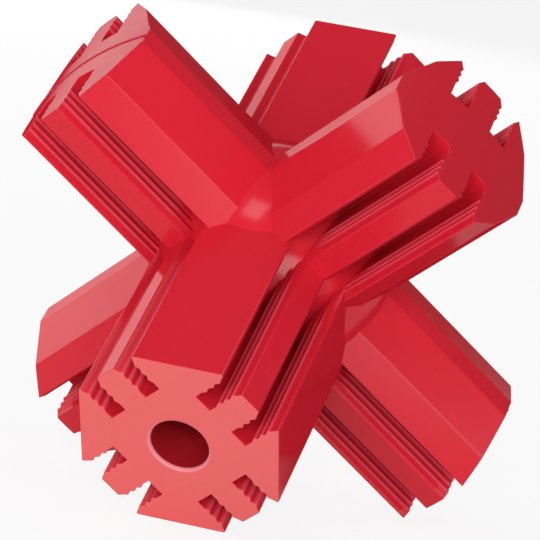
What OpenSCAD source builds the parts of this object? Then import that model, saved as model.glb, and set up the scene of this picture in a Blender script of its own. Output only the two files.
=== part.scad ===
// Rubber chew toy: six ridged arms on a ball hub, standing on three of its arms.
// Two opposite arms have eight slots and flat ends, and one of them is bored.
// The four arms between them have four slots and a domed end.
// The arms are built square to each other, and the whole toy is then tipped onto its feet.
// The origin is on the floor, straight below the middle of the hub.

/* [Reach] */
// From the middle of the toy to the flat end of the bored arm and of the back arm
flat_reach = 55; // [50:0.5:62]
// From the middle of the toy to the domed end of each side arm, and the radius of that dome
side_reach = 53.2; // [49:0.2:60]

/* [Hub] */
// Radius of the ball that fills the notches between the arms and ends the slots
ball_r = 23.5; // [22.5:0.1:25]

/* [Eight-slot arms] */
// Distance across two opposite ribs
eight_across = 38; // [37:0.5:40]
// Distance across two opposite cheeks, which are the wide faces
eight_cheeks = 37.3; // [36.5:0.1:39]
// Thickness of a rib at the floor of its slots
eight_rib_w = 5.7; // [5:0.1:6.2]
// Width of a slot at its floor
eight_slot_w = 3.5; // [3.1:0.1:3.8]
// Depth of a slot, from the face of the rib
eight_slot_d = 7.75; // [7.25:0.25:8.5]

/* [Four-slot arms] */
// Distance across the two ribs
four_across = 31.8; // [30.8:0.2:33]
// Distance across the two edge faces
four_edges = 33; // [31:0.5:35]
// Height of an edge face
edge_h = 4.2; // [3:0.2:6]
// Distance between the two shoulders of a cheek, where it changes slope
shoulder_w = 24.6; // [23:0.2:26]
// Height of the shoulders, from one side of the arm to the other
shoulder_h = 22; // [20:0.5:24]
// Width of the arm at the lips of its slots
lip_w = 16.2; // [16.2:0.1:17.5]
// Thickness of a rib at the floor of its slots
four_rib_w = 6.1; // [5.2:0.1:6.2]
// Width of a slot at its floor
four_slot_w = 4.1; // [3.6:0.1:4.1]
// Depth of a slot, from the face of the rib
four_slot_d = 9.75; // [8:0.25:10]

/* [Ridges in the slots] */
// Number of ridges on each wall of a slot
ridges = 3; // [1:1:3]
// Spacing of the ridges
ridge_pitch = 1.75; // [1.4:0.05:1.9]
// How far a ridge stands out of its wall
ridge_h = 0.45; // [0.2:0.05:0.6]
// Depth of the smooth flared mouth above the ridges
mouth_h = 1; // [0.6:0.1:1.2]
// How far each side of the mouth flares outwards
mouth_flare = 0.45; // [0:0.05:0.5]
// Slope of each slot wall away from square, in degrees
slot_draft = 1.5; // [0:0.25:1.5]

/* [Bore] */
// Diameter of the bore
bore_d = 11; // [8:0.5:13]
// Depth of the bore
bore_depth = 25; // [15:1:30]
// Radius of the rounded rim round the mouth of the bore
rim_r = 0.7; // [0.3:0.1:1.2]

/* [Hidden] */
$fn = 96;
rubber = [0.80, 0.10, 0.14];
// Where a ridge's crest stands, as a share of the pitch, because the outer flank is the steeper one
crest_at = 0.6;
// How far a cutter reaches past the surface that it cuts
past = 2;
// How far the flat joints between hub and arms lie outside the ball and the widest arm
joint_margin = 1;
joint_at = max(ball_r, eight_across / 2, four_edges / 2) + joint_margin;

// The three feet: the low cheek of the bored arm, and one slot lip of each lower side arm.
// The toy is tipped until all three reach the same depth below the middle of the hub.
cheek_out = eight_cheeks / 2;
lip_out = (lip_w / 2 + sqrt(side_reach^2 - (lip_w / 2)^2)) / sqrt(2);
shoulder_out = (shoulder_w / 2 + sqrt(side_reach^2 - (shoulder_w / 2)^2)) / sqrt(2);
tip = 90 + atan2(lip_out - cheek_out, flat_reach - four_across / 2);
function depth_below(out, along) = out * sin(tip) - along * cos(tip);
stand_h = max(depth_below(cheek_out, flat_reach), depth_below(lip_out, four_across / 2),
              depth_below(shoulder_out, shoulder_h / 2));

// A slot is drawn with its floor on y = 0 and its mouth upwards.
function wall_at(w, y) = w / 2 + y * tan(slot_draft);
function ridge_points(w, foot) = [
    for (i = [0 : ridges - 1]) each [
        [wall_at(w, foot + i * ridge_pitch), foot + i * ridge_pitch],
        [wall_at(w, foot + (i + crest_at) * ridge_pitch) - ridge_h, foot + (i + crest_at) * ridge_pitch]
    ]
];
function slot_wall(w, d) = [
    [w / 2, 0],
    each ridge_points(w, d - mouth_h - ridges * ridge_pitch),
    [wall_at(w, d - mouth_h), d - mouth_h],
    [wall_at(w, d) + mouth_flare, d],
    [wall_at(w, d) + mouth_flare, d + past]
];

module slot_outline(w, d) {
    right = slot_wall(w, d);
    left = [for (i = [len(right) - 1 : -1 : 0]) [-right[i].x, right[i].y]];
    polygon(concat(right, left));
}

// The two slots beside one rib, whose face lies at y = face
module slot_pair(rib_w, w, d, face) {
    for (side = [-1, 1])
        translate([side * (rib_w + w) / 2, face - d]) slot_outline(w, d);
}

module eight_outline() {
    intersection() {
        square(eight_across, center = true);
        rotate(45) square(eight_cheeks, center = true);
    }
}

module eight_section() {
    difference() {
        eight_outline();
        for (turn = [0 : 90 : 270])
            rotate(turn) slot_pair(eight_rib_w, eight_slot_w, eight_slot_d, eight_across / 2);
    }
}

module four_outline() {
    quarter = [[four_edges / 2, edge_h / 2], [shoulder_w / 2, shoulder_h / 2], [lip_w / 2, four_across / 2]];
    turned = [for (p = quarter) [-p.x, -p.y]];
    polygon([
        each quarter, for (i = [2 : -1 : 0]) [-quarter[i].x, quarter[i].y],
        each turned, for (i = [2 : -1 : 0]) [quarter[i].x, -quarter[i].y]
    ]);
}

module four_section() {
    difference() {
        four_outline();
        for (turn = [0, 180])
            rotate(turn) slot_pair(four_rib_w, four_slot_w, four_slot_d, four_across / 2);
    }
}

module eight_arm() {
    translate([0, 0, joint_at]) linear_extrude(flat_reach - joint_at) eight_section();
}

module four_arm() {
    intersection() {
        translate([0, 0, joint_at]) linear_extrude(side_reach) four_section();
        rotate([90, 0, 0]) cylinder(r = side_reach, h = four_across + past, center = true);
    }
}

module bore() {
    translate([0, 0, flat_reach - bore_depth]) cylinder(d = bore_d, h = bore_depth + past);
    rotate_extrude() difference() {
        translate([0, flat_reach - rim_r]) square([bore_d / 2 + rim_r, rim_r + past]);
        translate([bore_d / 2 + rim_r, flat_reach - rim_r]) circle(rim_r);
    }
}

// All six arms run through the middle. The ball fills the notches between them and closes the
// inner ends of their slots.
module crossing() {
    linear_extrude(4 * joint_at, center = true) eight_section();
    for (turn = [0, 90])
        rotate([90, 0, turn]) linear_extrude(4 * joint_at, center = true) four_section();
    sphere(ball_r);
}

module stand() {
    translate([0, 0, stand_h]) rotate([tip, 0, 0]) rotate(45) children();
}

module side_arm(turn) {
    stand() rotate([90, 0, turn]) four_arm();
}

module hub() {
    color(rubber) stand() difference() {
        intersection() {
            cube(2 * joint_at, center = true);
            crossing();
        }
        bore();
    }
}

module bored_arm() {
    color(rubber) stand() difference() {
        eight_arm();
        bore();
    }
}

module back_arm() {
    color(rubber) stand() rotate([180, 0, 0]) eight_arm();
}

module upper_left_arm() {
    color(rubber) side_arm(180);
}

module upper_right_arm() {
    color(rubber) side_arm(90);
}

module lower_right_arm() {
    color(rubber) side_arm(0);
}

module lower_left_arm() {
    color(rubber) side_arm(270);
}

hub();
bored_arm();
back_arm();
upper_left_arm();
upper_right_arm();
lower_right_arm();
lower_left_arm();
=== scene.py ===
# %% [markdown]
# # A jack-shaped rubber chew toy
#
# The real toy is one moulding in red rubber. Six ridged arms cross at a ball, like a toy jack.
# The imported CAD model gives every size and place, and this file gives it the looks: rounded
# edges, the mould's parting line, rubber that shines a little, a pale floor and soft light.
#
# Everything is in metres, in the CAD model's own frame: the floor is at z = 0, and the front
# of the toy looks towards -Y. The plans of the arms are in millimetres, and STAND scales them.

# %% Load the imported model
import math

import bmesh
import bpy
from mathutils import Matrix, Vector
from mathutils.geometry import delaunay_2d_cdt


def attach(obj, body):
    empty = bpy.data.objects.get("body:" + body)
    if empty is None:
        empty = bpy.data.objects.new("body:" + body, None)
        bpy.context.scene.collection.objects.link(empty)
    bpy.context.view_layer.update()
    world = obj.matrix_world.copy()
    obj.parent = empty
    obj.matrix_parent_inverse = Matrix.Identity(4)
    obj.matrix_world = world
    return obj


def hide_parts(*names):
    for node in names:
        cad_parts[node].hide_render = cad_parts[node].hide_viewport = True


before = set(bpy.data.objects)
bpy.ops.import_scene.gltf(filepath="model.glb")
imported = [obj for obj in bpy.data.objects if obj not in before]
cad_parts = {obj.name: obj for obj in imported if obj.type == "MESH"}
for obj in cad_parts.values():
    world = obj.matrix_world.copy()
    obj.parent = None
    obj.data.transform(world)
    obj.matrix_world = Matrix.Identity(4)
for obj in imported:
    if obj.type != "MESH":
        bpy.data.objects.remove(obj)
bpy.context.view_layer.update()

print("CAD nodes:", ", ".join(sorted(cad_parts)))

# %% [markdown]
# ## Sums with sockets
#
# A pattern on rubber, and the outline of a slot, are both sums. Blender wires a sum from
# Math nodes, one for each sign, and that soon fills a screen. So a `Wire` stands for one
# output socket and knows the signs: `1 - dust * 0.4` adds two Math nodes and their links.

# %% A wire that does sums
class Wire:
    """One output socket. A sum with it adds Math nodes to its board."""

    def __init__(self, board, socket):
        self.board, self.socket = board, socket

    def sum_of(self, operation, *values):
        return self.board.add("ShaderNodeMath", {"operation": operation}, dict(enumerate(values)))

    def __add__(self, other):
        return self.sum_of("ADD", self, other)

    def __sub__(self, other):
        return self.sum_of("SUBTRACT", self, other)

    def __rsub__(self, other):
        return self.sum_of("SUBTRACT", other, self)

    def __mul__(self, other):
        return self.sum_of("MULTIPLY", self, other)

    def __truediv__(self, other):
        return self.sum_of("DIVIDE", self, other)

    def __mod__(self, other):
        return self.sum_of("MODULO", self, other)

    def __pow__(self, other):
        return self.sum_of("POWER", self, other)

    def __gt__(self, other):
        return self.sum_of("GREATER_THAN", self, other)

    def __lt__(self, other):
        return self.sum_of("LESS_THAN", self, other)

    __radd__, __rmul__ = __add__, __mul__

    def by(self, operation):
        """A Math node that takes this value alone, such as SINE or FLOOR."""
        return self.sum_of(operation, self)

    def at(self, number):
        """1 where this is the whole number, and 0 elsewhere."""
        return self.sum_of("COMPARE", self, number, 0.5)

    def clipped(self):
        """Kept between 0 and 1."""
        return self.sum_of("MINIMUM", self.sum_of("MAXIMUM", self, 0), 1)

    def out(self, name):
        """Another output of the same node."""
        return Wire(self.board, self.socket.node.outputs[name])


print("A wire's signs: + - * / % ** > <")

# %% [markdown]
# A board stands for a whole node tree. Its `add` places a node and sets what the node is
# first, because that decides which sockets are on. Only then does it fill or link them.

# %% A board that holds the nodes
class Board:
    """A node tree that is being wired."""

    def __init__(self, tree):
        self.tree = tree

    def add(self, kind, settings=None, sockets=None):
        """Places a node, sets what it is, sets or links its sockets, and gives its first output."""
        node = self.tree.nodes.new(kind)
        for name, value in (settings or {}).items():
            setattr(node, name, value)
        for name, value in (sockets or {}).items():
            self.join(self.socket(node, name), value)
        outputs = [socket for socket in node.outputs if socket.enabled]
        return Wire(self, outputs[0]) if outputs else node

    def socket(self, node, name):
        if isinstance(name, int):
            return node.inputs[name]
        return next(s for s in node.inputs if s.enabled and s.name == name)

    def join(self, socket, value):
        for one in value if isinstance(value, list) else [value]:
            if isinstance(one, Wire):
                self.tree.links.new(one.socket, socket)
            else:
                socket.default_value = one


def material_board(name):
    """A new material without nodes, and the board that holds its tree."""
    material = bpy.data.materials.new(name)
    material.use_nodes = True
    material.node_tree.nodes.clear()
    return material, Board(material.node_tree)


print("Boards for materials and for plans are ready")

# %% [markdown]
# ## The rubber
#
# Moulded rubber takes its skin from the steel of the mould. The steel is polished along the
# arms and a little duller in places, so the skin shines softly and not evenly. Up close it
# has a fine pebble grain, and the pigment varies by a few hundredths. Light hardly reaches
# down the slots, and the crests of their ridges catch it. Both are also painted into the
# colour: painted shade darkens the red deep in the slots, and a painted highlight makes the
# crests paler.
#
# A Principled shader carries all of that. The shine is its coat, at a low weight, and it
# fades at a glance, because rubber reflects far less than varnish does where it is seen at
# a slant. The patterns read Object coordinates, which are metres here, so a grain of 0.3 mm
# stays 0.3 mm on every piece. Where the slots and crests are, the mesh says itself: it
# carries three numbers at each point, under the three names below.

# %% The material of every face
MM = 0.001
# Three numbers on the mesh: painted slot shade, being inside a slot, painted crest highlight
DEPTH, INSIDE, CREST = "depth in a slot", "inside a slot", "on a ridge's crest"
# Each pattern's lumps in millimetres, its detail and its roughness
CLOUDS, FLECKS, PEBBLES = (14, 3.0, 0.5), (1.6, 3.0, 0.6), (0.34, 1.0, 0.5)
# The coat where the skin is fresh, and what a dull patch, a glance and a slot take off it
FRESH_COAT, DULL_LOSS, GLANCE_LOSS, GLANCE_POWER, SLOT_LOSS = 1.12, 0.3, 1.5, 4, 0.85
FRESH_ROUGH, DULL_ROUGH, COAT_ROUGH = 0.42, 0.16, 0.15
# How much paler a dull patch is, and how strong the painted highlight on a crest is
PALER_SHARE, CREST_HIGHLIGHT_SHARE = 0.5, 0.7
# How much the clouds and the flecks count in the dull patches, and how dull the rest is
IN_CLOUDS, IN_FLECKS, EVERYWHERE = 1.6, 0.8, 0.35
BUMP_STRENGTH, FLECK_HEIGHT = 0.35, 0.8


def speckle(board, place, size, detail, roughness):
    """Soft noise from 0 to 1, with lumps about `size` millimetres across."""
    return board.add("ShaderNodeTexNoise", {"noise_dimensions": "3D"},
                     {"Vector": place, "Scale": 1 / (size * MM), "Detail": detail,
                      "Roughness": roughness})


def blended(board, share, first, second):
    """A colour between two, by a share from 0 to 1."""
    return board.add("ShaderNodeMix", {"data_type": "RGBA", "blend_type": "MIX"},
                     {"Factor": share, "A": first, "B": second})


def rubber(name, pigment, paler, shine, grain=0.025, slot_shade=None, crest=None):
    """Moulded rubber. Its linear colours: `pigment`, `paler` in dull patches, `slot_shade`, the
    painted shade in slots, and `crest`, the painted highlight on the ridges' crests. `grain` is the
    height of its pebbles, in millimetres."""
    material, board = material_board(name)
    place = board.add("ShaderNodeTexCoord").out("Object")
    clouds, flecks, pebbles = (speckle(board, place, *kind) for kind in (CLOUDS, FLECKS, PEBBLES))
    dull = ((clouds - 0.5) * IN_CLOUDS + (flecks - 0.5) * IN_FLECKS + EVERYWHERE).clipped()
    glance = board.add("ShaderNodeLayerWeight", {}, {"Blend": 0.5}).out("Facing") ** GLANCE_POWER
    gloss = shine * (FRESH_COAT - dull * DULL_LOSS) * (1 - glance * GLANCE_LOSS).clipped()
    colour = blended(board, dull * PALER_SHARE, (*pigment, 1), (*paler, 1))
    if slot_shade:
        depth, inside, crest_highlight = (
            board.add("ShaderNodeAttribute", {"attribute_name": label}).out("Fac")
            for label in (DEPTH, INSIDE, CREST))
        gloss = gloss * (1 - inside * SLOT_LOSS)
        # Painted shade: a darker red deep in the slots. Painted highlight: a paler red on the
        # crests.
        colour = blended(board, depth * depth, colour, (*slot_shade, 1))
        colour = blended(board, crest_highlight * crest_highlight * CREST_HIGHLIGHT_SHARE, colour, (*crest, 1))
    bump = board.add("ShaderNodeBump", {}, {
        "Strength": BUMP_STRENGTH, "Distance": grain * MM,
        "Height": pebbles + flecks * FLECK_HEIGHT})
    skin = board.add("ShaderNodeBsdfPrincipled", {}, {
        "Base Color": colour, "Roughness": FRESH_ROUGH + dull * DULL_ROUGH,
        "Specular IOR Level": 0.0, "Coat Weight": gloss, "Coat Roughness": COAT_ROUGH,
        "Coat IOR": 1.5, "Normal": bump})
    board.add("ShaderNodeOutputMaterial", {}, {"Surface": skin})
    return material


print("Grain of the skin:", PEBBLES[0], "mm across")

# %% [markdown]
# ## Five finishes
#
# One rubber, but five kinds of face. The arms have the mould's own skin. The domed ends face
# smoother steel, so they are darker and shine more. The flat ends are pale and matt, and their
# coral is partly a paler finish and partly painted reflection of the light that they catch. The
# rim of the bore is the palest, as a painted highlight where its round catches the light. The
# thread at the parting line is thin, dull and dark.
#
# They could be five separate node trees. One function with five sets of numbers keeps the
# grain the same on all of them, as it is on the toy. Only the moulded skin gets the painted
# slot shade and the painted crest highlight, because only that skin lies in the slots.

# %% The finishes
RED, PALER_RED = (0.600, 0.0135, 0.029), (0.620, 0.020, 0.038)
# Painted shade for the depths of the slots, and a painted highlight for the ridges' crests
SLOT_SHADE_RED, CREST_HIGHLIGHT_RED = (0.36, 0.010, 0.016), (0.78, 0.10, 0.15)

moulded_skin = rubber("red_rubber_skin", RED, PALER_RED, shine=0.45, slot_shade=SLOT_SHADE_RED,
                      crest=CREST_HIGHLIGHT_RED)
dome_skin = rubber("red_rubber_domed_end", (0.52, 0.012, 0.026), (0.54, 0.018, 0.034), shine=0.58)
# The flat ends' pale coral: partly a paler, matt finish, partly painted reflection of light
end_skin_and_sheen = rubber("red_rubber_flat_end_and_sheen", (0.71, 0.125, 0.125), (0.74, 0.145, 0.140), shine=0.10)
# The rim's palest pink is a painted highlight, where its round catches the light
rim_highlight_skin = rubber("red_rubber_bore_rim_highlight", (0.76, 0.22, 0.26), (0.78, 0.24, 0.28), shine=0.60)
seam_skin = rubber("red_rubber_parting_line", (0.48, 0.020, 0.050), (0.50, 0.026, 0.056),
                   shine=0.12, grain=0.02)
FINISHES = (moulded_skin, dome_skin, end_skin_and_sheen, rim_highlight_skin, seam_skin)
print("Finishes:", ", ".join(skin.name for skin in FINISHES))

# %% [markdown]
# ## How the arms are cut
#
# Every arm is a bar with the same cross-section all along it: ribs, and beside each rib two
# deep slots whose walls carry three small ridges that scrape teeth. One half of one rib
# holds the whole rule. Its points are numbered along a line, and sums on a point's number
# give its place: down the wall beside the rib, along the floor, and up the far wall.
#
# Mirrored, that half is a rib. Turned round the arm, the ribs close into one outline. It is
# filled and pushed out into a bar. Geometry Nodes do this, so the six arms and the hub get
# their sections from a few named sizes, which are the CAD model's own.

# %% Sizes of the two kinds of arm, in millimetres
FLAT_REACH, SIDE_REACH, BALL_R = 55.0, 53.2, 23.5
JOINT_AT = 24.5
BORE_R, BORE_DEPTH, RIM_R = 5.5, 25.0, 0.7

EIGHT = {"Ribs": 4, "Rib thickness": 5.7, "Slot width": 3.5, "Slot depth": 7.75, "Face": 19.0,
         "Lip": 7.375, "Shoulder out": 9.5, "Shoulder up": 16.875,
         "Corner out": 11.5, "Corner up": 14.875, "Last out": 13.1875, "Last up": 13.1875}
FOUR = {"Ribs": 2, "Rib thickness": 6.1, "Slot width": 4.1, "Slot depth": 9.75, "Face": 15.9,
        "Lip": 8.1, "Shoulder out": 12.3, "Shoulder up": 11.0,
        "Corner out": 16.5, "Corner up": 2.1, "Last out": 16.5, "Last up": 0.0}
RIDGES = {"Ridges": 3, "Pitch": 1.75, "Ridge height": 0.45, "Crest": 0.6, "Mouth": 1.0,
          "Flare": 0.45, "Draft": math.tan(math.radians(1.5))}
print("Ribs:", EIGHT["Ribs"], "and", FOUR["Ribs"], " ridges on each wall:", RIDGES["Ridges"])

# %% [markdown]
# A plan is a Geometry Nodes tree with a named input for each size. A few small helpers start
# one, end it, and place the nodes that every plan needs.

# %% Helpers for plans
COUNTS = ("Ribs", "Ridges", "Arms", "Steps", "Trimmed arm")
# Points closer than this, in millimetres, become one
WELD = 0.002


def new_plan(name, sizes):
    """An empty Geometry Nodes tree with a named input for each size, and wires from them."""
    tree = bpy.data.node_groups.new(name, "GeometryNodeTree")
    tree.interface.new_socket("Geometry", in_out="OUTPUT", socket_type="NodeSocketGeometry")
    for label, value in sizes.items():
        kind = "NodeSocketInt" if label in COUNTS else "NodeSocketFloat"
        tree.interface.new_socket(label, in_out="INPUT", socket_type=kind).default_value = value
    board = Board(tree)
    first = board.add("NodeGroupInput")
    return board, {label: first.out(label) for label in sizes}


def finish_plan(board, geometry):
    board.add("NodeGroupOutput", {}, {"Geometry": geometry})
    return board.tree


def use_plan(board, plan, sizes):
    """Another plan as one node of this one."""
    return board.add("GeometryNodeGroup", {"node_tree": plan}, sizes)


def inputs_of(plan, sizes):
    """The part of `sizes` that a plan has inputs for."""
    labels = {item.name for item in plan.interface.items_tree if item.in_out == "INPUT"}
    return {label: value for label, value in sizes.items() if label in labels}


def point(board, x, y, z=0.0):
    return board.add("ShaderNodeCombineXYZ", {}, {"X": x, "Y": y, "Z": z})


def dots_in_one_place(board, count):
    """Points that lie on each other until something moves them."""
    return board.add("GeometryNodeMeshLine", {}, {"Count": count, "Offset": (0, 0, 0)})


def placed_at(board, geometry, position):
    return board.add("GeometryNodeSetPosition", {}, {"Geometry": geometry, "Position": position})


def turned_copies(board, count, thing, choice=True):
    """Copies of a thing, turned about the Z axis by equal steps, where `choice` allows one."""
    number = board.add("GeometryNodeInputIndex")
    return board.add("GeometryNodeInstanceOnPoints", {},
                     {"Points": dots_in_one_place(board, count), "Selection": choice,
                      "Instance": thing,
                      "Rotation": point(board, 0.0, 0.0, number * (2 * math.pi) / count)})


def joined(board, *geometries):
    return board.add("GeometryNodeJoinGeometry", {}, {"Geometry": list(reversed(geometries))})


def welded(board, geometry):
    return board.add("GeometryNodeMergeByDistance", {}, {"Geometry": geometry, "Distance": WELD})


print("Whole-number inputs:", ", ".join(COUNTS))

# %% [markdown]
# Point 0 is the middle of the rib's face. Then come the points down the wall beside the rib,
# as many up the wall across the slot, and four more that lead round to the next rib. Each
# wall has a foot, a mouth, the start of its flare, and two points for each ridge.

# %% The outline of half a rib, from the numbers of its points
ROUND_TO_NEXT = (("Lip", "Face"), ("Shoulder out", "Shoulder up"),
                 ("Corner out", "Corner up"), ("Last out", "Last up"))

board, size = new_plan("half rib", {**EIGHT, **RIDGES})
wall = size["Ridges"] * 2 + 3
number = board.add("GeometryNodeInputIndex")
middle = number - wall - 0.5
step = middle.by("ABSOLUTE") - 0.5
side = middle.by("SIGN")
at_floor = step.at(0)
at_mouth = step.at(wall - 1)
on_wall = (1 - at_floor) * (1 - at_mouth)
odd = ((step - 1) % 2) * on_wall
foot = size["Slot depth"] - size["Mouth"] - size["Ridges"] * size["Pitch"]
ridge = ((step - 1) / 2).by("FLOOR")
up = (foot + (ridge + odd * size["Crest"]) * size["Pitch"]) * on_wall
up = up + at_mouth * size["Slot depth"]
half_slot = size["Slot width"] / 2 + up * size["Draft"]
half_slot = half_slot - odd * size["Ridge height"] + at_mouth * size["Flare"]
in_slot = (number > 0.5) * (number < wall * 2 + 0.5)
across = ((size["Rib thickness"] + size["Slot width"]) / 2 + side * half_slot) * in_slot
height = (size["Face"] - size["Slot depth"] + up) * in_slot + number.at(0) * size["Face"]
for k, (out_name, up_name) in enumerate(ROUND_TO_NEXT):
    here = number.at(wall * 2 + 1 + k)
    across = across + here * size[out_name]
    height = height + here * size[up_name]
line = dots_in_one_place(board, wall * 2 + 1 + len(ROUND_TO_NEXT))
HALF_RIB = finish_plan(board, placed_at(board, line, point(board, across, height)))
print("Points on half a rib:", 2 * (2 * RIDGES["Ridges"] + 3) + 1 + len(ROUND_TO_NEXT))

# %% [markdown]
# A half and its mirror image make a rib, and its turned copies close the outline. The
# extrusion leaves the bar open at its near end, so the section is put there as well, flipped
# to look outwards.

# %% A bar: the outline closed, filled and pushed out
board, size = new_plan("ridged bar", {**EIGHT, **RIDGES, "From": 0.0, "To": 1.0})
half = use_plan(board, HALF_RIB, inputs_of(HALF_RIB, size))
mirrored = board.add("GeometryNodeTransform", {}, {"Geometry": half, "Scale": (-1, 1, 1)})
ribs = turned_copies(board, size["Ribs"], joined(board, half, mirrored))
outline = welded(board, board.add("GeometryNodeRealizeInstances", {}, {"Geometry": ribs}))
loop = board.add("GeometryNodeMeshToCurve", {}, {"Mesh": outline})
section = board.add("GeometryNodeFillCurve", {"mode": "NGONS"}, {"Curve": loop})
low = board.add("GeometryNodeTransform", {},
                {"Geometry": section, "Translation": point(board, 0.0, 0.0, size["From"])})
body = board.add("GeometryNodeExtrudeMesh", {"mode": "FACES"},
                 {"Mesh": low, "Offset": (0, 0, 1), "Offset Scale": size["To"] - size["From"]})
bottom = board.add("GeometryNodeFlipFaces", {}, {"Mesh": low})
BAR = finish_plan(board, welded(board, joined(board, body, bottom)))
print("Plan of a bar:", len(BAR.nodes), "nodes, and", len(HALF_RIB.nodes), "for its half rib")

# %% [markdown]
# ## The bore
#
# The front arm has a round blind hole for a treat or a rope's knot, with a rounded rim. Its
# cutter is a turned shape. A grid is bent round: its rows follow the cutter's outline, from
# the middle of the hole's floor up the wall and out over the rim, and its columns go round.

# %% The cutter for the bore
RIM_STEPS, ROUND = 8, 96
# How far a cutter reaches past the surface that it cuts, in millimetres
PAST = 2.0

board, size = new_plan("bore cutter", {"Radius": BORE_R, "Depth": BORE_DEPTH, "Rim": RIM_R,
                                       "Reach": FLAT_REACH})
rows = RIM_STEPS + 5
grid = board.add("GeometryNodeMeshGrid", {}, {"Vertices X": rows, "Vertices Y": ROUND + 1})
number = board.add("GeometryNodeInputIndex")
row = (number / (ROUND + 1)).by("FLOOR")
angle = (number % (ROUND + 1)) * (-2 * math.pi / ROUND)
over_rim = ((row - 2) / RIM_STEPS).clipped() * (math.pi / 2)
off_axis = (row > 0.5) * (row < rows - 1.5)
radius = (size["Radius"] + size["Rim"] * (1 - over_rim.by("COSINE"))) * off_axis
above = (row > RIM_STEPS + 2.5) * PAST
up_wall = (row > 1.5) * (size["Depth"] - size["Rim"])
height = size["Reach"] - size["Depth"] + up_wall + size["Rim"] * over_rim.by("SINE") + above
bent = placed_at(board, grid, point(board, radius * angle.by("COSINE"),
                                    radius * angle.by("SINE"), height))
BORE = finish_plan(board, welded(board, bent))
print("Bore cutter:", rows, "rows and", ROUND, "columns")

# %% [markdown]
# ## Arms and hub
#
# A flat-ended arm is a bar, and the front one has the bore taken out. A side arm is a longer
# bar that is trimmed by a wide drum, which gives its end the low dome of the real toy. The
# hub is where all six bars cross, with the ball round them. The ball fills the notches
# between the arms and closes the inner ends of the slots.
#
# All of them are split at flat planes, in the same places as the CAD model's nodes. They
# could be modelled face by face, but solids that are joined and cut stay closed, and they
# follow the sizes.

# %% Helpers that cut, turn and dress a shape
def boolean(board, operation, first, *others):
    """Solids joined, crossed or cut. A difference takes the others out of the first."""
    if operation == "DIFFERENCE":
        solids = {"Mesh 1": first, "Mesh 2": list(others)}
    else:
        solids = {"Mesh": [first, *others]}
    return board.add("GeometryNodeMeshBoolean", {"operation": operation, "solver": "EXACT"}, solids)


def turned(board, geometry, x=0.0, y=0.0, z=0.0):
    angles = tuple(math.radians(angle) for angle in (x, y, z))
    return board.add("GeometryNodeTransform", {}, {"Geometry": geometry, "Rotation": angles})


def dressed(board, geometry, finishes):
    """Realize Instances, then the finish of each part. A later finish covers an earlier one."""
    geometry = board.add("GeometryNodeRealizeInstances", {}, {"Geometry": geometry})
    for material, chosen in finishes:
        geometry = board.add("GeometryNodeSetMaterial", {},
                             {"Geometry": geometry, "Selection": chosen, "Material": material})
    return finish_plan(board, geometry)


print("Shapes are cut by the exact solver")

# %% [markdown]
# A finish goes where a sum says so. Each of these sums is true on one kind of face: the flat
# end, the dome, or the rim of the bore. A small slack takes in the corners' rounding errors.

# %% Which faces get a finish of their own
END_SLACK, DRUM_SLACK, ALONG_ARM = 0.05, 0.02, 0.99
# How far out from the bore's wall the rim gets the painted highlight, in millimetres
HIGHLIGHT_RIM = 0.42


def parts_of(board, kind):
    return board.add("ShaderNodeSeparateXYZ", {}, {0: board.add("GeometryNodeInput" + kind)})


def far_out(one, other):
    """How far a point is from an axis, from its two other coordinates."""
    return (one * one + other * other).by("SQRT")


def faces_at(board, level):
    """The flat faces that look along the arm at this distance from the middle of the toy."""
    high = parts_of(board, "Position").out("Z") > level - END_SLACK
    return (parts_of(board, "Normal").out("Z") > ALONG_ARM) * high


def faces_on_drum(board, radius):
    """The faces that the drum has left on a side arm's end."""
    spot = parts_of(board, "Position")
    return far_out(spot.out("X"), spot.out("Z")) > radius - DRUM_SLACK


def faces_on_rim(board, width):
    """The rounded rim of the bore, as far out from the bore's wall as `width`."""
    spot = parts_of(board, "Position")
    in_rim = far_out(spot.out("X"), spot.out("Y")) < BORE_R + width
    return in_rim * (spot.out("Z") > FLAT_REACH - RIM_R)


print(f"Rim of the bore: {HIGHLIGHT_RIM} mm of its {RIM_R} mm is pale")

# %% Plans of the back arm and the bored arm
flat_sizes = {**EIGHT, **RIDGES, "From": JOINT_AT, "To": FLAT_REACH}

board, size = new_plan("flat arm", flat_sizes)
BACK_ARM = dressed(board, use_plan(board, BAR, size), [
    (moulded_skin, True), (end_skin_and_sheen, faces_at(board, FLAT_REACH))])

board, size = new_plan("bored arm", flat_sizes)
bored = boolean(board, "DIFFERENCE", use_plan(board, BAR, size), use_plan(board, BORE, {}))
# The bore's rim: its inner part gets the painted highlight
BORED_ARM = dressed(board, bored, [
    (moulded_skin, True), (end_skin_and_sheen, faces_at(board, FLAT_REACH)),
    (end_skin_and_sheen, faces_on_rim(board, RIM_R)), (rim_highlight_skin, faces_on_rim(board, HIGHLIGHT_RIM))])
print("Plans:", BACK_ARM.name, "and", BORED_ARM.name)

# %% Plan of a side arm
DRUM_SIDES, DRUM_LENGTH = 360, 60.0

board, size = new_plan("domed arm", {**FOUR, **RIDGES, "From": JOINT_AT,
                                     "To": SIDE_REACH + PAST, "Dome": SIDE_REACH})
drum = board.add("GeometryNodeMeshCylinder", {"fill_type": "NGON"},
                 {"Vertices": DRUM_SIDES, "Radius": size["Dome"], "Depth": DRUM_LENGTH})
bar = use_plan(board, BAR, inputs_of(BAR, size))
domed = boolean(board, "INTERSECT", bar, turned(board, drum, x=90))
DOMED_ARM = dressed(board, domed, [
    (moulded_skin, True), (dome_skin, faces_on_drum(board, SIDE_REACH))])
print("Plan:", DOMED_ARM.name, "with a dome of radius", SIDE_REACH, "mm")

# %% Plan of the hub
BALL_SEGMENTS, BALL_RINGS = 144, 72
HALF_BAR = 40.0

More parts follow.
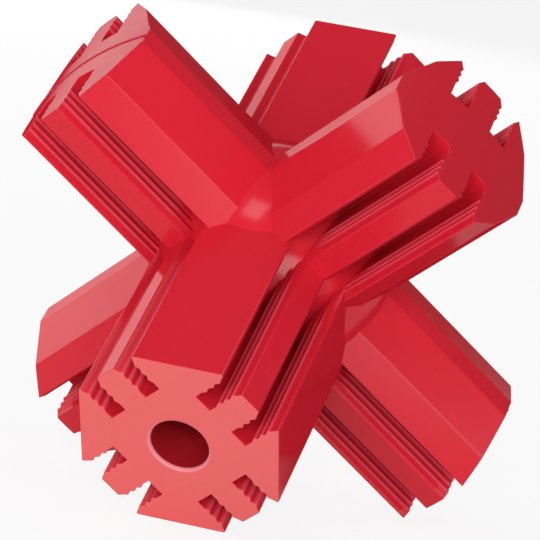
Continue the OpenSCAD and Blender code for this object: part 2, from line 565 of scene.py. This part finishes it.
board, size = new_plan("hub", {"Ball": BALL_R, "Joint": JOINT_AT})
span = {"From": -HALF_BAR, "To": HALF_BAR}
ball = board.add("GeometryNodeMeshUVSphere", {},
                 {"Segments": BALL_SEGMENTS, "Rings": BALL_RINGS, "Radius": size["Ball"]})
long_bar = use_plan(board, BAR, {**EIGHT, **RIDGES, **span})
cross_bar = turned(board, use_plan(board, BAR, {**FOUR, **RIDGES, **span}), x=90)
crossing = boolean(board, "UNION", long_bar, cross_bar, turned(board, cross_bar, z=90), ball)
edge = size["Joint"] * 2
cube = board.add("GeometryNodeMeshCube", {}, {"Size": point(board, edge, edge, edge)})
core = boolean(board, "INTERSECT", crossing, cube)
HUB = dressed(board, boolean(board, "DIFFERENCE", core, use_plan(board, BORE, {})),
              [(moulded_skin, True)])
print("Plan:", HUB.name, "inside a cube of", 2 * JOINT_AT, "mm")

# %% [markdown]
# ## Standing the toy up
#
# The arms are built square to each other. The toy itself stands on three of its arms: it is
# turned by 45 degrees and tipped until the low cheek of the front arm and one lip of each
# lower side arm reach the same depth. These are the CAD model's own sums.

# %% From the square frame to the floor
CHEEK_OUT = 37.3 / 2


def outward(half_width):
    """How far a point of the dome lies from the axis of the flat arms, 45 degrees round."""
    return (half_width + math.sqrt(SIDE_REACH ** 2 - half_width ** 2)) / math.sqrt(2)


lip_out = outward(FOUR["Lip"])
tip = math.pi / 2 + math.atan2(lip_out - CHEEK_OUT, FLAT_REACH - FOUR["Face"])
stand_h = max(out * math.sin(tip) - along * math.cos(tip) for out, along in (
    (CHEEK_OUT, FLAT_REACH), (lip_out, FOUR["Face"]),
    (outward(FOUR["Shoulder out"]), FOUR["Shoulder up"])))
STAND = (Matrix.Scale(MM, 4) @ Matrix.Translation((0, 0, stand_h))
         @ Matrix.Rotation(tip, 4, "X") @ Matrix.Rotation(math.pi / 4, 4, "Z"))


def quarter(turns, axis):
    return Matrix.Rotation(turns * math.pi / 2, 4, axis)


PLACES = {"hub": (HUB, Matrix.Identity(4)),
          "bored_arm": (BORED_ARM, Matrix.Identity(4)),
          "back_arm": (BACK_ARM, quarter(2, "X")),
          "lower_right_arm": (DOMED_ARM, quarter(1, "X")),
          "upper_right_arm": (DOMED_ARM, quarter(1, "Z") @ quarter(1, "X")),
          "upper_left_arm": (DOMED_ARM, quarter(2, "Z") @ quarter(1, "X")),
          "lower_left_arm": (DOMED_ARM, quarter(3, "Z") @ quarter(1, "X"))}
print(f"Tipped by {math.degrees(tip):.3f} degrees, middle {stand_h:.3f} mm above the floor")

# %% [markdown]
# ## Rounded edges
#
# Rubber has no knife edges: the mould's corners are a little round, and the rounds catch the
# light as thin lines. So a plain mesh is taken from each plan, and every edge that stands
# outwards gets a bevel weight: most on the long edges, less on the ridges and the end rims.
# The planes where the arms are split get none, so that no seam shows between hub and arm.
#
# A bevel of one width is simpler, but the narrow lands between the ridges have no room for
# it. So no round takes more than a share of the face beside it.

# %% One plain mesh from each plan
def placed(name, data):
    """A new object in the scene."""
    thing = bpy.data.objects.new(name, data)
    bpy.context.scene.collection.objects.link(thing)
    return thing


def evaluated_mesh(thing):
    """What an object's modifiers make of it, as a mesh of its own."""
    depsgraph = bpy.context.evaluated_depsgraph_get()
    return bpy.data.meshes.new_from_object(thing.evaluated_get(depsgraph), depsgraph=depsgraph)


def grow(plan, name):
    """Runs a plan once, and gives back its result as a plain mesh."""
    carrier = placed(name, bpy.data.meshes.new(name))
    nodes = carrier.modifiers.new("Nodes", "NODES")
    nodes.node_group = plan
    for item in plan.interface.items_tree:
        if item.in_out == "INPUT":
            nodes[item.identifier] = item.default_value
    mesh = evaluated_mesh(carrier)
    bpy.data.objects.remove(carrier)
    return mesh


meshes = {plan.name: grow(plan, plan.name) for plan in (HUB, BORED_ARM, BACK_ARM, DOMED_ARM)}
print("Faces:", {name: len(mesh.polygons) for name, mesh in meshes.items()})

# %% How wide each edge's round is
LONG_ROUND, RIDGE_ROUND, RIM_ROUND, LEAST_RIM = 0.30, 0.22, 0.18, 0.1
# A face narrower than this is on a ridge, and a round takes at most this share of a face
NARROW, SHARE = 1.3, 0.4
# Edges that bend less, in radians, stay as they are
LEAST_BEND = 0.2
# Points this far from the middle of the toy are on the end of an arm
END_ZONE = 50
# The main part of the direction of an edge that runs straight along or across an arm
SQUARE = 0.9999
# A face is on a joint this near to its plane, in millimetres, and this square to the arm
JOINT_SLACK, JOINT_SQUARE = 0.01, 0.999


def on_joint(face):
    """A face on one of the planes where the toy is split, in the square frame."""
    return any(abs(abs(face.calc_center_median()[k]) - JOINT_AT) < JOINT_SLACK
               and abs(face.normal[k]) > JOINT_SQUARE for k in range(3))


def on_end_rim(edge):
    """An edge that is wholly on an arm's end, or runs askew there."""
    first, second = (vert.co for vert in edge.verts)
    near, far = sorted((first.length, second.length))
    way = (first - second).normalized()
    return near > END_ZONE or far > END_ZONE and max(abs(part) for part in way) < SQUARE


def round_of(edge):
    """How wide an edge's round is, in millimetres, or 0 for an edge that stays sharp."""
    if len(edge.link_faces) != 2 or not edge.is_convex or edge.calc_face_angle(0) < LEAST_BEND:
        return 0.0
    if any(on_joint(face) for face in edge.link_faces):
        return 0.0
    if on_end_rim(edge):
        return min(RIM_ROUND, max(SHARE * edge.calc_length(), LEAST_RIM))
    near = min(face.calc_area() / edge.calc_length() for face in edge.link_faces)
    return min(RIDGE_ROUND if near < NARROW else LONG_ROUND, SHARE * near)


print("Rounds of", RIM_ROUND, "to", LONG_ROUND, "mm")

# %% [markdown]
# The exact solver leaves flat faces in several parts. They are merged before the edges are
# weighed, because a round must not stop in the middle of a face.

# %% Flat faces merged, edges weighed, and the mesh put in its place
FLAT_ANGLE, SMOOTH_ANGLE = math.radians(0.05), math.radians(30)


def mend(mesh, place):
    """Merges what is flat, marks the rounds, and puts the mesh where its node is."""
    shape = bmesh.new()
    shape.from_mesh(mesh)
    bmesh.ops.remove_doubles(shape, verts=shape.verts, dist=WELD)
    bmesh.ops.dissolve_limit(shape, angle_limit=FLAT_ANGLE, verts=shape.verts,
                             edges=shape.edges, delimit={"MATERIAL"})
    shape.normal_update()
    weight = shape.edges.layers.float.new("bevel_weight_edge")
    for edge in shape.edges:
        width = round_of(edge)
        edge[weight] = width / LONG_ROUND
        edge.smooth = width > 0 or edge.calc_face_angle(0) < SMOOTH_ANGLE
    for face in shape.faces:
        face.smooth = True
    volume = shape.calc_volume(signed=True)
    shape.transform(STAND @ place)
    shape.to_mesh(mesh)
    shape.free()
    return volume


pieces = []
for node, (plan, place) in PLACES.items():
    piece = placed(node + "_rubber", meshes[plan.name].copy())
    piece.data.name = piece.name
    volume = mend(piece.data, place)
    pieces.append(piece)
    print(f"{piece.name}: {volume:.0f} mm3, {len(piece.data.polygons)} faces")

# %% [markdown]
# A flat end is one face with hundreds of corners. A render and an STL file both cut such a
# face into triangles, and the quick way of cutting can fail on the tiny rounds. So each big
# face is cut here, by a Delaunay triangulation, and each corner keeps its shading. A face
# whose outline crosses itself at a round can't be cut so, and is cut the quick way.

# %% Big faces cut into triangles
# Corners closer than this, in millimetres, become one
MELT = 0.001
# A face with more corners than this is cut
MOST_CORNERS = 4
# The triangulation keeps what lies inside the outline, to this precision
INSIDE_ONLY, PRECISION = 1, 1e-5


def seen_flat(face):
    """A face's corners in its own plane, in millimetres."""
    middle = face.calc_center_median()
    along = face.normal.orthogonal().normalized()
    aside = face.normal.cross(along)
    return [Vector(((loop.vert.co - middle).dot(along), (loop.vert.co - middle).dot(aside))) / MM
            for loop in face.loops]


def cut_big_faces(mesh):
    shape = bmesh.new()
    shape.from_mesh(mesh)
    shade = shape.loops.layers.float_vector.new("shade")
    for face, polygon in zip(shape.faces, mesh.polygons):
        for loop, corner in zip(face.loops, polygon.loop_indices):
            loop[shade] = mesh.corner_normals[corner].vector
    bmesh.ops.remove_doubles(shape, verts=shape.verts, dist=MELT * MM)
    big = [face for face in shape.faces if len(face.verts) > MOST_CORNERS]
    folded = []
    for face in big:
        corners, flat = list(face.loops), seen_flat(face)
        _, _, cuts, origins, _, _ = delaunay_2d_cdt(flat, [], [list(range(len(flat)))],
                                                    INSIDE_ONLY, PRECISION)
        if not all(origins):
            folded.append(face)
            continue
        for cut in cuts:
            loops = [corners[origins[k][0]] for k in cut]
            part = shape.faces.new([loop.vert for loop in loops])
            part.smooth, part.material_index = True, face.material_index
            for new, old in zip(part.loops, loops):
                new[shade] = old[shade]
    bmesh.ops.delete(shape, geom=[face for face in big if face not in folded], context="FACES_ONLY")
    bmesh.ops.triangulate(shape, faces=folded)
    shape.to_mesh(mesh)
    shape.free()
    shades = [Vector(corner.vector) for corner in mesh.attributes["shade"].data]
    mesh.normals_split_custom_set(shades)
    mesh.attributes.remove(mesh.attributes["shade"])


print("Faces with more than", MOST_CORNERS, "corners will be cut")

# %% [markdown]
# ## Where the slots and their crests are
#
# The slots of the real toy look dark because little light gets in, and the ridges' crests
# look pale because they catch it. The lamps here do most of that. The rest is painted into the
# colour, as painted shade in the slots and a painted highlight on the crests, from three numbers
# at each point of the mesh: how deep it lies, whether it is inside a slot, and whether it is on
# a crest. Near the arm's end the light still reaches in, so the painted shade counts less there.
# The bore is treated as a slot that is deep from its rim down, so its wall gets painted shade.
#
# An ambient occlusion node could find the dark places, but it is slow, and it can't tell a
# crest from a wall. The sizes of the slots can.

# %% Depth, inside and crest, from a point's place in the square frame
# Over this length, in millimetres, the light still reaches in from an arm's end, and the painted
# shade fades
LIT_END = 7.0
# How much of a ridge's pitch, to each side of its crest, gets the painted highlight
CREST_BAND = 0.17
# How far past the wall the tests for a slot and for a crest reach, in millimetres
WALL_SLACK, CREST_SLACK = 0.85, 0.05
# How far they reach past the floor, as a share of the depth
FLOOR_SLACK = 1.02
# How far past the ball and past the bore's floor, in millimetres
BALL_SLACK, BORE_SLACK = 0.05, 0.1
# A point is fully inside from one part in this many of the depth
INSIDE_PARTS = 6


def in_bore(spot):
    """How deep a point of the bore's rim or hole lies, from 0 to 1, or None outside it. It sets
    the bore's painted shade.
    """
    out = math.hypot(spot.x, spot.y)
    if spot.z > FLAT_REACH - BORE_DEPTH - BORE_SLACK and out < BORE_R + RIM_R:
        return min(1.0, (BORE_R + RIM_R - out) / RIM_R)
    return None


def slot_depth(spot):
    """For a point of the square frame: how deep it lies, which sets its painted shade, how far
    inside, and if on a crest, which gives it the painted highlight.
    """
    hole = in_bore(spot)
    if hole is not None:
        return hole, hole, 0.0
    x, y, z = (abs(part) for part in spot)
    if z > max(x, y):
        sizes, reach, along, out, aside = EIGHT, FLAT_REACH, z, max(x, y), min(x, y)
    else:
        sizes, reach, along, out, aside = FOUR, SIDE_REACH, max(x, y), z, min(x, y)
    off_middle = abs(aside - (sizes["Rib thickness"] + sizes["Slot width"]) / 2)
    half_slot = sizes["Slot width"] / 2
    down = (sizes["Face"] - out) / sizes["Slot depth"]
    if spot.length < BALL_R + BALL_SLACK or off_middle > half_slot + WALL_SLACK \
            or down > FLOOR_SLACK:
        return 0.0, 0.0, 0.0
    lit = min(1.0, max(0.0, (reach - along) / LIT_END))
    foot = sizes["Face"] - RIDGES["Mouth"] - RIDGES["Ridges"] * RIDGES["Pitch"]
    ridge = (out - foot) / RIDGES["Pitch"]
    crest = (0 < ridge < RIDGES["Ridges"] and abs(ridge % 1 - RIDGES["Crest"]) < CREST_BAND
             and off_middle > half_slot - RIDGES["Ridge height"] - CREST_SLACK)
    return max(0.0, down) * lit, min(1.0, max(0.0, down) * INSIDE_PARTS), float(crest)


def measure_slots(mesh):
    """Writes the three numbers onto the mesh."""
    to_square = STAND.inverted()
    measures = zip(*(slot_depth(to_square @ vert.co) for vert in mesh.vertices))
    for name, values in zip((DEPTH, INSIDE, CREST), measures):
        mesh.attributes.new(name, "FLOAT", "POINT").data.foreach_set("value", values)


print("Depth of the two kinds of slot:", EIGHT["Slot depth"], "and", FOUR["Slot depth"], "mm")

# %% [markdown]
# Now each piece gets its rounds, from a Bevel modifier that follows the weights. Weighted
# Normal keeps the big faces flat next to the rounds. Both are applied, so that the faces can
# be cut and the slots measured. The piece then stands for its CAD node.

# %% Pieces rounded, cut and measured
ROUND_SEGMENTS = 3

for node, piece in zip(PLACES, pieces):
    rounds = piece.modifiers.new("Rounded edges", "BEVEL")
    rounds.limit_method, rounds.width, rounds.segments = "WEIGHT", LONG_ROUND * MM, ROUND_SEGMENTS
    rounds.use_clamp_overlap, rounds.loop_slide = False, False
    normals = piece.modifiers.new("Flat faces stay flat", "WEIGHTED_NORMAL")
    normals.keep_sharp = True
    mesh = evaluated_mesh(piece)
    piece.modifiers.clear()
    piece.data = mesh
    cut_big_faces(mesh)
    measure_slots(mesh)
    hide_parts(node)
    print(f"{piece.name}: {len(mesh.polygons)} faces")

# %% [markdown]
# ## The parting line
#
# The mould opens through the middle of the four side arms. Where its halves meet, a thread
# of rubber is left across each domed end, and the photograph shows it as a thin dark arc.
# It follows a path, so it is made like a hose: points spread along an arc become a curve,
# and a small circle is drawn along that curve. The curve's own radius lets the thread die
# away before the arm's edge. Turned copies of it serve the other arms. The photograph shows
# no thread on the upper right arm, where it is taken to be trimmed off with a knife.

# %% A thread along an arc
CIRCLE_STEPS = 24
# At its ends the thread is this share of its thickness, and it grows this fast
THINNEST, GROWTH = 0.15, 12

board, size = new_plan("parting line", {"Arms": 4, "Trimmed arm": 0, "Steps": 64,
                                        "Reach": SIDE_REACH, "Sunk": 0.32, "Thread": 0.50,
                                        "Half angle": math.radians(17.7)})
number = board.add("GeometryNodeInputIndex")
share = number / size["Steps"] * 2 - 1
angle = share * size["Half angle"]
radius = size["Reach"] - size["Sunk"]
arc = placed_at(board, dots_in_one_place(board, size["Steps"] + 1),
                point(board, radius * angle.by("COSINE"), radius * angle.by("SINE")))
arc = board.add("GeometryNodeMeshToCurve", {}, {"Mesh": arc})
thickness = ((1 - share.by("ABSOLUTE")) * GROWTH + THINNEST).clipped()
arc = board.add("GeometryNodeSetCurveRadius", {}, {"Curve": arc, "Radius": thickness})
circle = board.add("GeometryNodeCurvePrimitiveCircle", {},
                   {"Resolution": CIRCLE_STEPS, "Radius": size["Thread"]})
thread = board.add("GeometryNodeCurveToMesh", {},
                   {"Curve": arc, "Profile Curve": circle, "Fill Caps": True})
threads = turned_copies(board, size["Arms"], thread, 1 - number.at(size["Trimmed arm"]))
PARTING_LINE = dressed(board, threads, [(seam_skin, True)])

mesh = grow(PARTING_LINE, "parting_line")
mesh.transform(STAND)
mesh.shade_smooth()
pieces.append(placed("parting_line", mesh))
print("Parting line:", len(mesh.polygons), "faces on three arms")

# %% [markdown]
# ## Floor and light
#
# The photograph has a plain white ground and soft light. The floor is one wide plane. Its
# pale colour takes the toy's shadow, and where the camera looks it also glows a little, so
# that the ground is near white without more light on the rubber.

# %% The floor
FLOOR_HALF = 12.0
PAPER_GREY, GLOW_SHARE, ROOM_LIGHT = 0.80, 0.88, 0.18
WHITE = (1, 1, 1, 1)

corners = [(x * FLOOR_HALF, y * FLOOR_HALF, 0) for x, y in ((-1, -1), (1, -1), (1, 1), (-1, 1))]
mesh = bpy.data.meshes.new("floor")
mesh.from_pydata(corners, [], [(0, 1, 2, 3)])
floor = placed("floor", mesh)
paper, board = material_board("pale_paper")
path = board.add("ShaderNodeLightPath")
seen = (path + path.out("Is Glossy Ray") + path.out("Is Transmission Ray")).clipped()
matt = board.add("ShaderNodeBsdfDiffuse", {}, {"Color": (PAPER_GREY, PAPER_GREY, PAPER_GREY, 1)})
glow = board.add("ShaderNodeEmission", {}, {"Color": WHITE, "Strength": 1.0})
ground = board.add("ShaderNodeMixShader", {}, {0: seen * GLOW_SHARE, 1: matt, 2: glow})
board.add("ShaderNodeOutputMaterial", {}, {"Surface": ground})
floor.data.materials.append(paper)

world = bpy.data.worlds.new("dim room")
world.use_nodes = True
background = world.node_tree.nodes["Background"]
background.inputs["Color"].default_value = WHITE
background.inputs["Strength"].default_value = ROOM_LIGHT
bpy.context.scene.world = world
bpy.context.scene.view_settings.view_transform = "Standard"
print("Floor", 2 * FLOOR_HALF, "m wide")

# %% [markdown]
# A softbox is a big square lamp. The wide one in front gives the cheeks and the flat end
# their even light, and the others put a soft sheen on the faces that look their way. Large
# lamps at a low radiance are used, because a small bright one would leave white streaks.

# %% Softboxes
MIDDLE = Vector((0, 0, stand_h * MM))
LAMP_AWAY = 1.5
# Name, azimuth and elevation in degrees, width and height in metres, and radiance
LAMPS = (("front_softbox", 3, 9, 2.1, 0.5, 6.6),
         ("high_softbox", -22, 52, 0.45, 0.45, 4.5),
         ("left_softbox", -110, 16, 1.0, 0.95, 3.1),
         ("back_left_softbox", -147, 17, 1.15, 0.86, 2.4),
         ("back_right_softbox", 163, 7, 0.45, 0.36, 4.0),
         ("right_softbox", 66, 11, 0.95, 0.48, 2.7),
         ("top_softbox", 108, 73, 0.62, 0.6, 2.6))


def softbox(name, azimuth, elevation, wide, high, radiance):
    """A square lamp that looks at the toy. Azimuth 0 is in front of it, and 90 to its right."""
    a, e = math.radians(azimuth), math.radians(elevation)
    out = Vector((math.sin(a) * math.cos(e), -math.cos(a) * math.cos(e), math.sin(e)))
    lamp = bpy.data.lights.new(name, "AREA")
    lamp.shape, lamp.size, lamp.size_y = "RECTANGLE", wide, high
    lamp.energy = radiance * math.pi * wide * high
    holder = placed(name, lamp)
    holder.location = MIDDLE + out * LAMP_AWAY
    holder.rotation_euler = out.to_track_quat("Z", "Y").to_euler()
    holder.visible_camera = False


for lamp in LAMPS:
    softbox(*lamp)
print("Softboxes:", len(LAMPS))

# %% [markdown]
# ## Camera
#
# The camera stands where the photograph was taken from: a little to the right, slightly
# above the toy and turned by nine degrees, with a long lens. Its place was found by fitting
# the CAD model's corners to the picture.

# %% The photograph's camera
RIGHT, BACK = Vector((0.9533, 0.2570, 0.1587)), Vector((0.2373, -0.9623, 0.1327)).normalized()
CAMERA_AT = (0.14803, -0.59976, 0.12653)
SENSOR_MM, LENS_MM = 36.0, 218.53

up_way = BACK.cross(RIGHT).normalized()
right_way = up_way.cross(BACK)
lens = bpy.data.cameras.new("camera")
lens.sensor_width, lens.lens = SENSOR_MM, LENS_MM
lens.shift_x, lens.shift_y = -0.0038, -0.0020
lens.clip_start, lens.clip_end = 0.01, 100.0
camera = placed("camera", lens)
turn = Matrix((right_way, up_way, BACK)).transposed().to_4x4()
camera.matrix_world = Matrix.Translation(CAMERA_AT) @ turn
bpy.context.scene.camera = camera
print("Camera", [round(value, 3) for value in CAMERA_AT], "m")

# %% [markdown]
# ## Hand over
# ## Riding on the body
# Each piece rides on the toy's one rigid body.

# %% Ride on the toy's body
for piece in pieces:
    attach(piece, "root")

bpy.context.view_layer.update()
